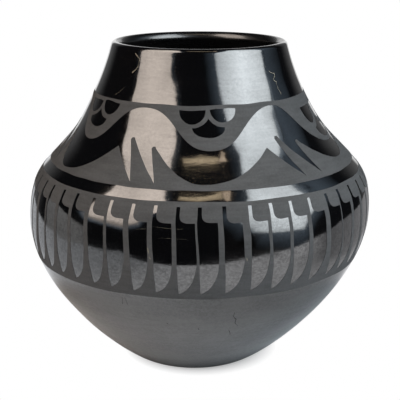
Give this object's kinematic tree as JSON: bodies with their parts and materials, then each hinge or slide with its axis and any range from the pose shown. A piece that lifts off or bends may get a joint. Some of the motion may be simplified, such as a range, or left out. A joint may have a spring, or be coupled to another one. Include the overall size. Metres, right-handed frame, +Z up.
{
  "type": "pueblo pottery jar",
  "caption": "Coil-built blackware jar with a wide belly, a leaning neck and a rounded lip, burnished outside and painted with matte feather, mountain and cloud bands.",
  "frame": {"origin": "centre of the flat foot, on the surface the jar stands on", "axes": "+Z up along the jar's axis, -Y towards the front, +X to the front's right"},
  "size_m": [0.2502, 0.2504, 0.235],
  "materials": {
    "fired_clay": "smoke-blackened fired clay, scraped and dry",
    "burnished_slip": "black slip, stone-burnished to a mirror-like gloss",
    "matte_paint": "matte grey-black slip paint"
  },
  "bodies": {
    "root": {"base_bowl": "fired_clay", "coil_1": "fired_clay", "coil_2": "fired_clay", "coil_3": "fired_clay", "coil_4": "fired_clay", "coil_5": "fired_clay", "coil_6": "fired_clay", "coil_7": "fired_clay", "coil_8": "fired_clay", "coil_9": "fired_clay", "coil_10": "fired_clay", "rim_coil": "fired_clay", "slip_outside": "burnished_slip", "slip_inside_neck": "burnished_slip", "feather_band": "matte_paint", "mountain_band": "matte_paint", "cloud_band": "matte_paint"}
  },
  "joints": []
}
